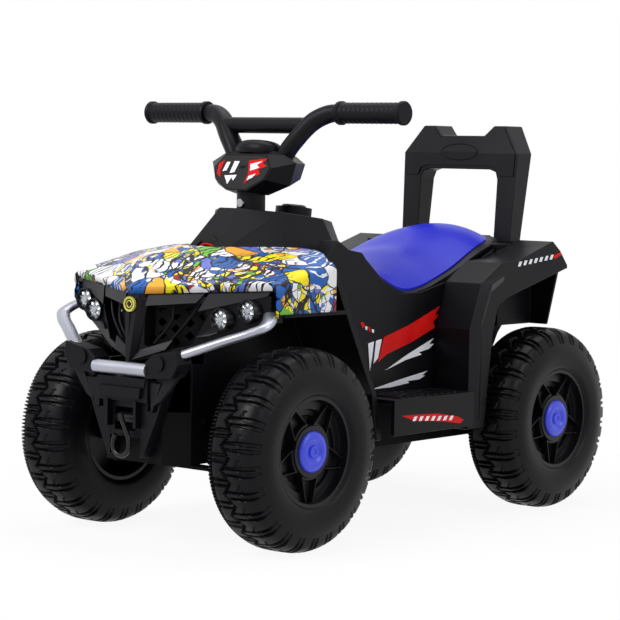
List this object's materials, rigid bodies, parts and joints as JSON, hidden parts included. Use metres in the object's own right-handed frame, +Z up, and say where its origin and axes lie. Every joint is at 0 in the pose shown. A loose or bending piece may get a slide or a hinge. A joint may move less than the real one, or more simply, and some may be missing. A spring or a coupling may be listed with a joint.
{
  "type": "kids quad bike",
  "caption": "Small battery ride-on quad bike for a child, with lugged wheels, steered front axle, saddle seat, backrest, printed hood and tube bumper.",
  "frame": {"origin": "on the ground in the middle of the bike's length and width", "axes": "+Z up, -Y forward along the bike, +X to the rider's left"},
  "size_m": [0.4, 0.728, 0.507],
  "materials": {
    "tread_black": "satin moulded",
    "rim_black": "satin moulded",
    "cap_blue": "satin",
    "steel": "zinc plated",
    "frame_black": "matt",
    "body_black": "satin moulded",
    "seat_blue": "satin moulded",
    "hood_print": "gloss print",
    "bar_silver": "silver satin",
    "lamp_chrome": "bright",
    "lamp_lens": "clear",
    "grip_rubber": "matt"
  },
  "bodies": {
    "chassis": {"backrest": "body_black", "battery": "frame_black", "body_screws": "steel", "bumper_bars": "bar_silver", "bumper_caps": "body_black", "bumper_frame": "body_black", "centre_body": "body_black", "charging_socket": "body_black", "chassis_pan": "frame_black", "dash_boss": "body_black", "dash_console": "body_black", "footboard_left": "body_black", "footboard_right": "body_black", "front_axle_beam": "frame_black", "front_fascia": "body_black", "front_fender": "body_black", "gearbox": "frame_black", "grille_mesh": "body_black", "headlight_bezels": "lamp_chrome", "headlight_lenses": "lamp_lens", "hood": "hood_print", "king_pins": "steel", "nose_badge": "body_black", "rear_axle": "steel", "rear_axle_nuts": "steel", "rear_cover": "frame_black", "rear_fender": "body_black", "seat": "seat_blue", "winch_drum": "body_black", "winch_fairlead": "body_black", "winch_hook": "body_black"},
    "steering": {"steering_column": "steel", "handlebar": "body_black", "grip_left": "grip_rubber", "grip_right": "grip_rubber", "instrument_pod": "body_black", "stem_bolt": "steel"},
    "link": {"steering_link": "steel"},
    "knuckle_left": {"knuckle_left": "frame_black", "stub_axle_left": "steel", "axle_nut_front_left": "steel"},
    "knuckle_right": {"knuckle_right": "frame_black", "stub_axle_right": "steel", "axle_nut_front_right": "steel"},
    "wheel_front_left": {"tyre_front_left": "tread_black", "rim_front_left": "rim_black", "hub_cap_front_left": "cap_blue"},
    "wheel_front_right": {"tyre_front_right": "tread_black", "rim_front_right": "rim_black", "hub_cap_front_right": "cap_blue"},
    "wheel_rear_left": {"tyre_rear_left": "tread_black", "rim_rear_left": "rim_black", "hub_cap_rear_left": "cap_blue", "drive_dog": "frame_black"},
    "wheel_rear_right": {"tyre_rear_right": "tread_black", "rim_rear_right": "rim_black", "hub_cap_rear_right": "cap_blue"},
    "pedal": {"foot_pedal": "body_black"},
    "start": {"start_button": "body_black"},
    "rocker": {"direction_switch": "body_black"}
  },
  "joints": [
    {"name": "steer", "type": "hinge", "parent": "chassis", "child": "steering", "pos_m": [0, -0.143, 0.3], "axis": [0, 0, 1], "range_deg": [-20, 20]},
    {"name": "link_pivot", "type": "hinge", "parent": "steering", "child": "link", "pos_m": [0, -0.183, 0.088], "axis": [0, 0, 1], "range_deg": [-20, 20]},
    {"name": "king_pin_left", "type": "hinge", "parent": "chassis", "child": "knuckle_left", "pos_m": [0.088, -0.233, 0.115], "axis": [0, 0, 1], "range_deg": [-20, 20]},
    {"name": "king_pin_right", "type": "hinge", "parent": "chassis", "child": "knuckle_right", "pos_m": [-0.088, -0.233, 0.115], "axis": [0, 0, 1], "range_deg": [-20, 20]},
    {"name": "roll_front_left", "type": "hinge", "parent": "knuckle_left", "child": "wheel_front_left", "pos_m": [0.148, -0.233, 0.115], "axis": [1, 0, 0], "continuous": true},
    {"name": "roll_front_right", "type": "hinge", "parent": "knuckle_right", "child": "wheel_front_right", "pos_m": [-0.148, -0.233, 0.115], "axis": [1, 0, 0], "continuous": true},
    {"name": "roll_rear_left", "type": "hinge", "parent": "chassis", "child": "wheel_rear_left", "pos_m": [0.148, 0.249, 0.115], "axis": [1, 0, 0], "continuous": true},
    {"name": "roll_rear_right", "type": "hinge", "parent": "chassis", "child": "wheel_rear_right", "pos_m": [-0.148, 0.249, 0.115], "axis": [1, 0, 0], "continuous": true},
    {"name": "pedal_press", "type": "hinge", "parent": "chassis", "child": "pedal", "pos_m": [-0.137, 0.011, 0.1658], "axis": [1, 0, 0], "range_deg": [0, 9], "stiffness_Nm_per_rad": 2, "springref_deg": -2.86},
    {"name": "start_press", "type": "slide", "parent": "chassis", "child": "start", "axis": [0, -0.1135, -0.9935], "range_m": [0, 0.0025], "stiffness_N_per_m": 400, "springref_m": -0.001},
    {"name": "direction_rock", "type": "hinge", "parent": "chassis", "child": "rocker", "pos_m": [-0.034, -0.105, 0.37185], "axis": [1, 0, 0], "range_deg": [-8, 8]}
  ],
  "couplings": [
    {"joint": "link_pivot", "follows": "steer", "ratio": -1},
    {"joint": "king_pin_left", "follows": "steer", "ratio": 1},
    {"joint": "king_pin_right", "follows": "steer", "ratio": 1}
  ]
}
